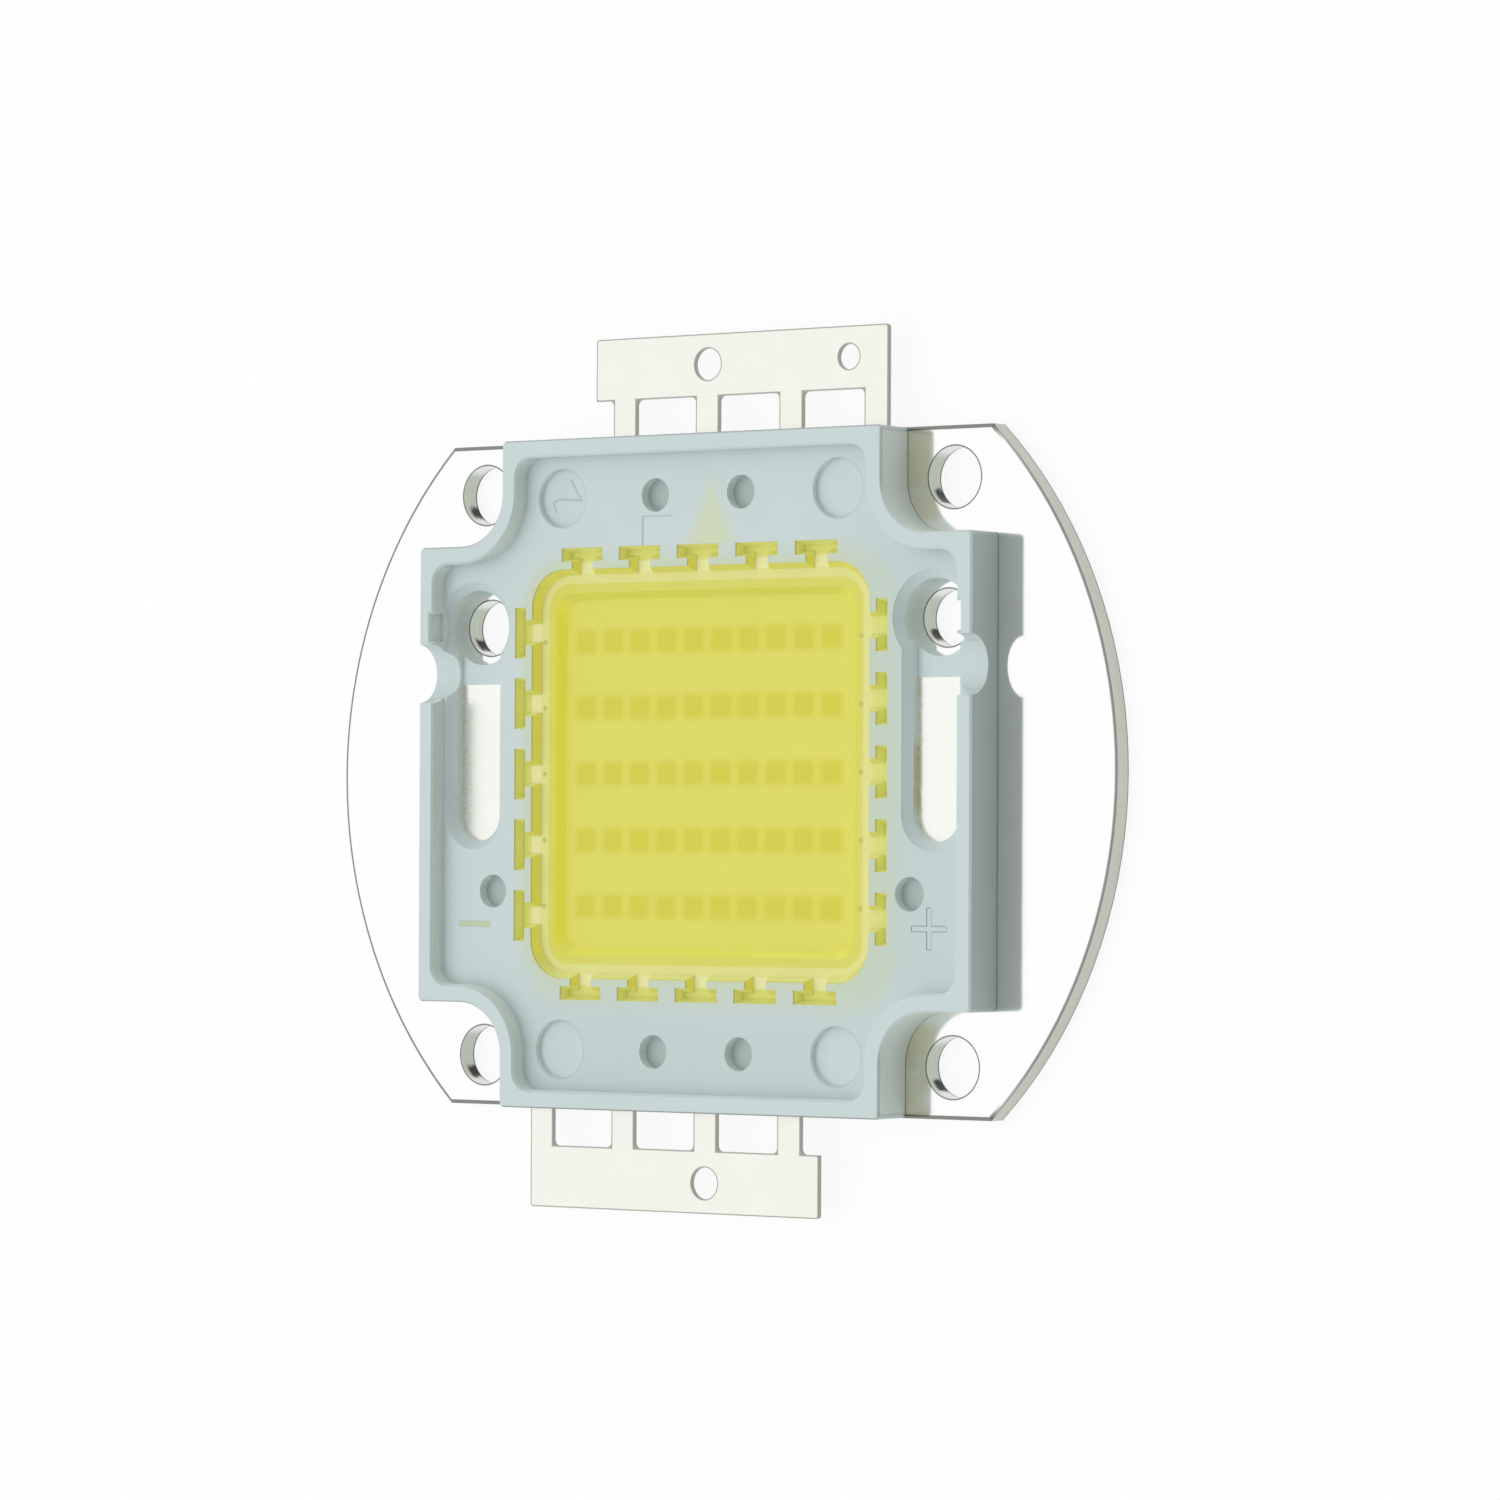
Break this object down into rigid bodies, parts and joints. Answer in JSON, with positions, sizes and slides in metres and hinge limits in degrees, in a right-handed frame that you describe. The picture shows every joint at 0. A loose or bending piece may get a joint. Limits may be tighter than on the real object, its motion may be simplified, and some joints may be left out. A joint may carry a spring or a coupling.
{
  "type": "high-power led module",
  "caption": "Flat high-power LED: an array of dies under yellow phosphor in a white moulded housing, on a metal plate with screw holes and two comb-shaped tabs.",
  "frame": {"origin": "centre of the flat thermal face on the back of the base plate", "axes": "+Z out of the light-emitting face, X across the two polarity sides towards the anode side, +Y towards the anode tab"},
  "size_m": [0.056, 0.052, 0.0041],
  "materials": {
    "plated_metal": "bright silver plating, mirror-like, with fine drawing marks",
    "white_moulding": "fine matt moulded surface, cool white",
    "plated_lead": "satin silver plating on thin sheet, slightly warm",
    "phosphor_silicone": "soft satin silicone, pale yellow",
    "die": "smooth crystal, faintly blue",
    "bond_wire": "bright drawn gold"
  },
  "bodies": {
    "root": {"base_plate": "plated_metal", "housing": "white_moulding", "anode_lead": "plated_lead", "cathode_lead": "plated_lead", "phosphor": "phosphor_silicone", "led_die_row1_col1": "die", "led_die_row1_col2": "die", "led_die_row1_col3": "die", "led_die_row1_col4": "die", "led_die_row1_col5": "die", "led_die_row1_col6": "die", "led_die_row1_col7": "die", "led_die_row1_col8": "die", "led_die_row1_col9": "die", "led_die_row1_col10": "die", "led_die_row2_col1": "die", "led_die_row2_col2": "die", "led_die_row2_col3": "die", "led_die_row2_col4": "die", "led_die_row2_col5": "die", "led_die_row2_col6": "die", "led_die_row2_col7": "die", "led_die_row2_col8": "die", "led_die_row2_col9": "die", "led_die_row2_col10": "die", "led_die_row3_col1": "die", "led_die_row3_col2": "die", "led_die_row3_col3": "die", "led_die_row3_col4": "die", "led_die_row3_col5": "die", "led_die_row3_col6": "die", "led_die_row3_col7": "die", "led_die_row3_col8": "die", "led_die_row3_col9": "die", "led_die_row3_col10": "die", "led_die_row4_col1": "die", "led_die_row4_col2": "die", "led_die_row4_col3": "die", "led_die_row4_col4": "die", "led_die_row4_col5": "die", "led_die_row4_col6": "die", "led_die_row4_col7": "die", "led_die_row4_col8": "die", "led_die_row4_col9": "die", "led_die_row4_col10": "die", "led_die_row5_col1": "die", "led_die_row5_col2": "die", "led_die_row5_col3": "die", "led_die_row5_col4": "die", "led_die_row5_col5": "die", "led_die_row5_col6": "die", "led_die_row5_col7": "die", "led_die_row5_col8": "die", "led_die_row5_col9": "die", "led_die_row5_col10": "die", "bond_wires_row1": "bond_wire", "bond_wires_row2": "bond_wire", "bond_wires_row3": "bond_wire", "bond_wires_row4": "bond_wire", "bond_wires_row5": "bond_wire"}
  },
  "joints": []
}
